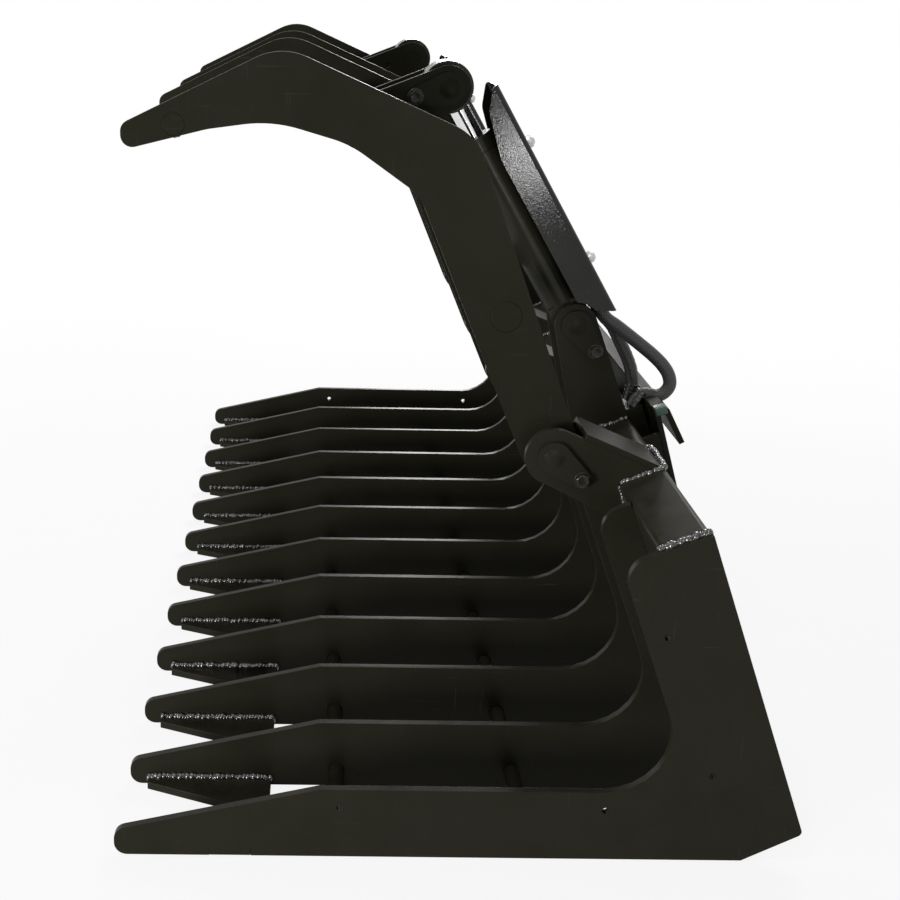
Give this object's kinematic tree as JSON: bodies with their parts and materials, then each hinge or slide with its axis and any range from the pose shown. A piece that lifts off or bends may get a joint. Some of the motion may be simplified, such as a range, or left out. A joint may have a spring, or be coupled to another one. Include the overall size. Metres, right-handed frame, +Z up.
{
  "type": "utility grapple",
  "caption": "Wide loader grapple: a row of L-shaped tines under two curved clamp arms that hydraulic cylinders close, with a quick-attach back.",
  "frame": {"origin": "on the ground plane, at the middle of the width and of the overall depth with the arms open", "axes": "+X from the tine tips to the rear, +Y across the width to the right-hand side seen from the loader's seat, +Z up"},
  "size_m": [1.0626, 2.134, 1.1258],
  "materials": {
    "frame_paint": "semi-gloss black paint",
    "arm_paint": "semi-gloss black paint",
    "cylinder_paint": "semi-gloss black paint",
    "guard_paint": "gloss black paint",
    "plated_steel": "zinc plated steel",
    "rod_chrome": "hard chrome",
    "hose_rubber": "matte rubber in a woven sleeve"
  },
  "bodies": {
    "frame": {"side_plate_left": "frame_paint", "side_plate_right": "frame_paint", "tine_1": "frame_paint", "tine_2": "frame_paint", "tine_3": "frame_paint", "tine_4": "frame_paint", "tine_5": "frame_paint", "tine_6": "frame_paint", "tine_7": "frame_paint", "tine_8": "frame_paint", "tine_9": "frame_paint", "tine_10": "frame_paint", "front_floor_plate": "frame_paint", "cross_rods": "frame_paint", "top_tube": "frame_paint", "heel_plate": "frame_paint", "attach_plate": "frame_paint", "attach_lip": "frame_paint", "attach_foot": "frame_paint", "attach_gussets": "frame_paint", "ears_left": "frame_paint", "ears_right": "frame_paint", "ear_caps": "frame_paint", "cylinder_mounts": "frame_paint", "pivot_pins": "frame_paint", "base_pins": "frame_paint", "frame_retainers": "frame_paint", "frame_bolts": "frame_paint", "hose_blocks": "frame_paint", "cross_tubes": "plated_steel", "manifold": "frame_paint", "couplers": "plated_steel", "hoses_left": "hose_rubber", "hoses_right": "hose_rubber"},
    "arm_left": {"arm_plates_left": "arm_paint", "arm_bosses_left": "arm_paint", "arm_cross_members_left": "arm_paint", "rod_lugs_left": "arm_paint", "rod_pin_left": "arm_paint", "rod_retainer_left": "arm_paint"},
    "cylinder_left": {"barrel_left": "cylinder_paint", "gland_left": "cylinder_paint", "guard_left": "guard_paint", "guard_nuts_left": "plated_steel", "oil_tube_left": "cylinder_paint"},
    "rod_left": {"rod_left": "rod_chrome", "piston_left": "rod_chrome"},
    "arm_right": {"arm_plates_right": "arm_paint", "arm_bosses_right": "arm_paint", "arm_cross_members_right": "arm_paint", "rod_lugs_right": "arm_paint", "rod_pin_right": "arm_paint", "rod_retainer_right": "arm_paint"},
    "cylinder_right": {"barrel_right": "cylinder_paint", "gland_right": "cylinder_paint", "guard_right": "guard_paint", "guard_nuts_right": "plated_steel", "oil_tube_right": "cylinder_paint"},
    "rod_right": {"rod_right": "rod_chrome", "piston_right": "rod_chrome"}
  },
  "joints": [
    {"name": "arm_left_swing", "type": "hinge", "parent": "frame", "child": "arm_left", "pos_m": [0.13272, -0.467, 0.52985], "axis": [0, -1, 0], "range_deg": [0, 64]},
    {"name": "cylinder_left_tilt", "type": "hinge", "parent": "frame", "child": "cylinder_left", "pos_m": [0.20295, -0.467, 0.67785], "axis": [0, -1, 0], "range_deg": [0, 67]},
    {"name": "rod_left_stroke", "type": "slide", "parent": "cylinder_left", "child": "rod_left", "axis": [-0.5188, 0, 0.8549], "range_m": [0, 0.175]},
    {"name": "arm_right_swing", "type": "hinge", "parent": "frame", "child": "arm_right", "pos_m": [0.13272, 0.467, 0.52985], "axis": [0, -1, 0], "range_deg": [0, 64]},
    {"name": "cylinder_right_tilt", "type": "hinge", "parent": "frame", "child": "cylinder_right", "pos_m": [0.20295, 0.467, 0.67785], "axis": [0, -1, 0], "range_deg": [0, 67]},
    {"name": "rod_right_stroke", "type": "slide", "parent": "cylinder_right", "child": "rod_right", "axis": [-0.5188, 0, 0.8549], "range_m": [0, 0.175]}
  ],
  "couplings": [
    {"joint": "cylinder_left_tilt", "follows": "arm_left_swing", "ratio": 1.0323},
    {"joint": "rod_left_stroke", "follows": "arm_left_swing", "m_per_rad": 0.15438},
    {"joint": "cylinder_right_tilt", "follows": "arm_right_swing", "ratio": 1.0323},
    {"joint": "rod_right_stroke", "follows": "arm_right_swing", "m_per_rad": 0.15438}
  ]
}
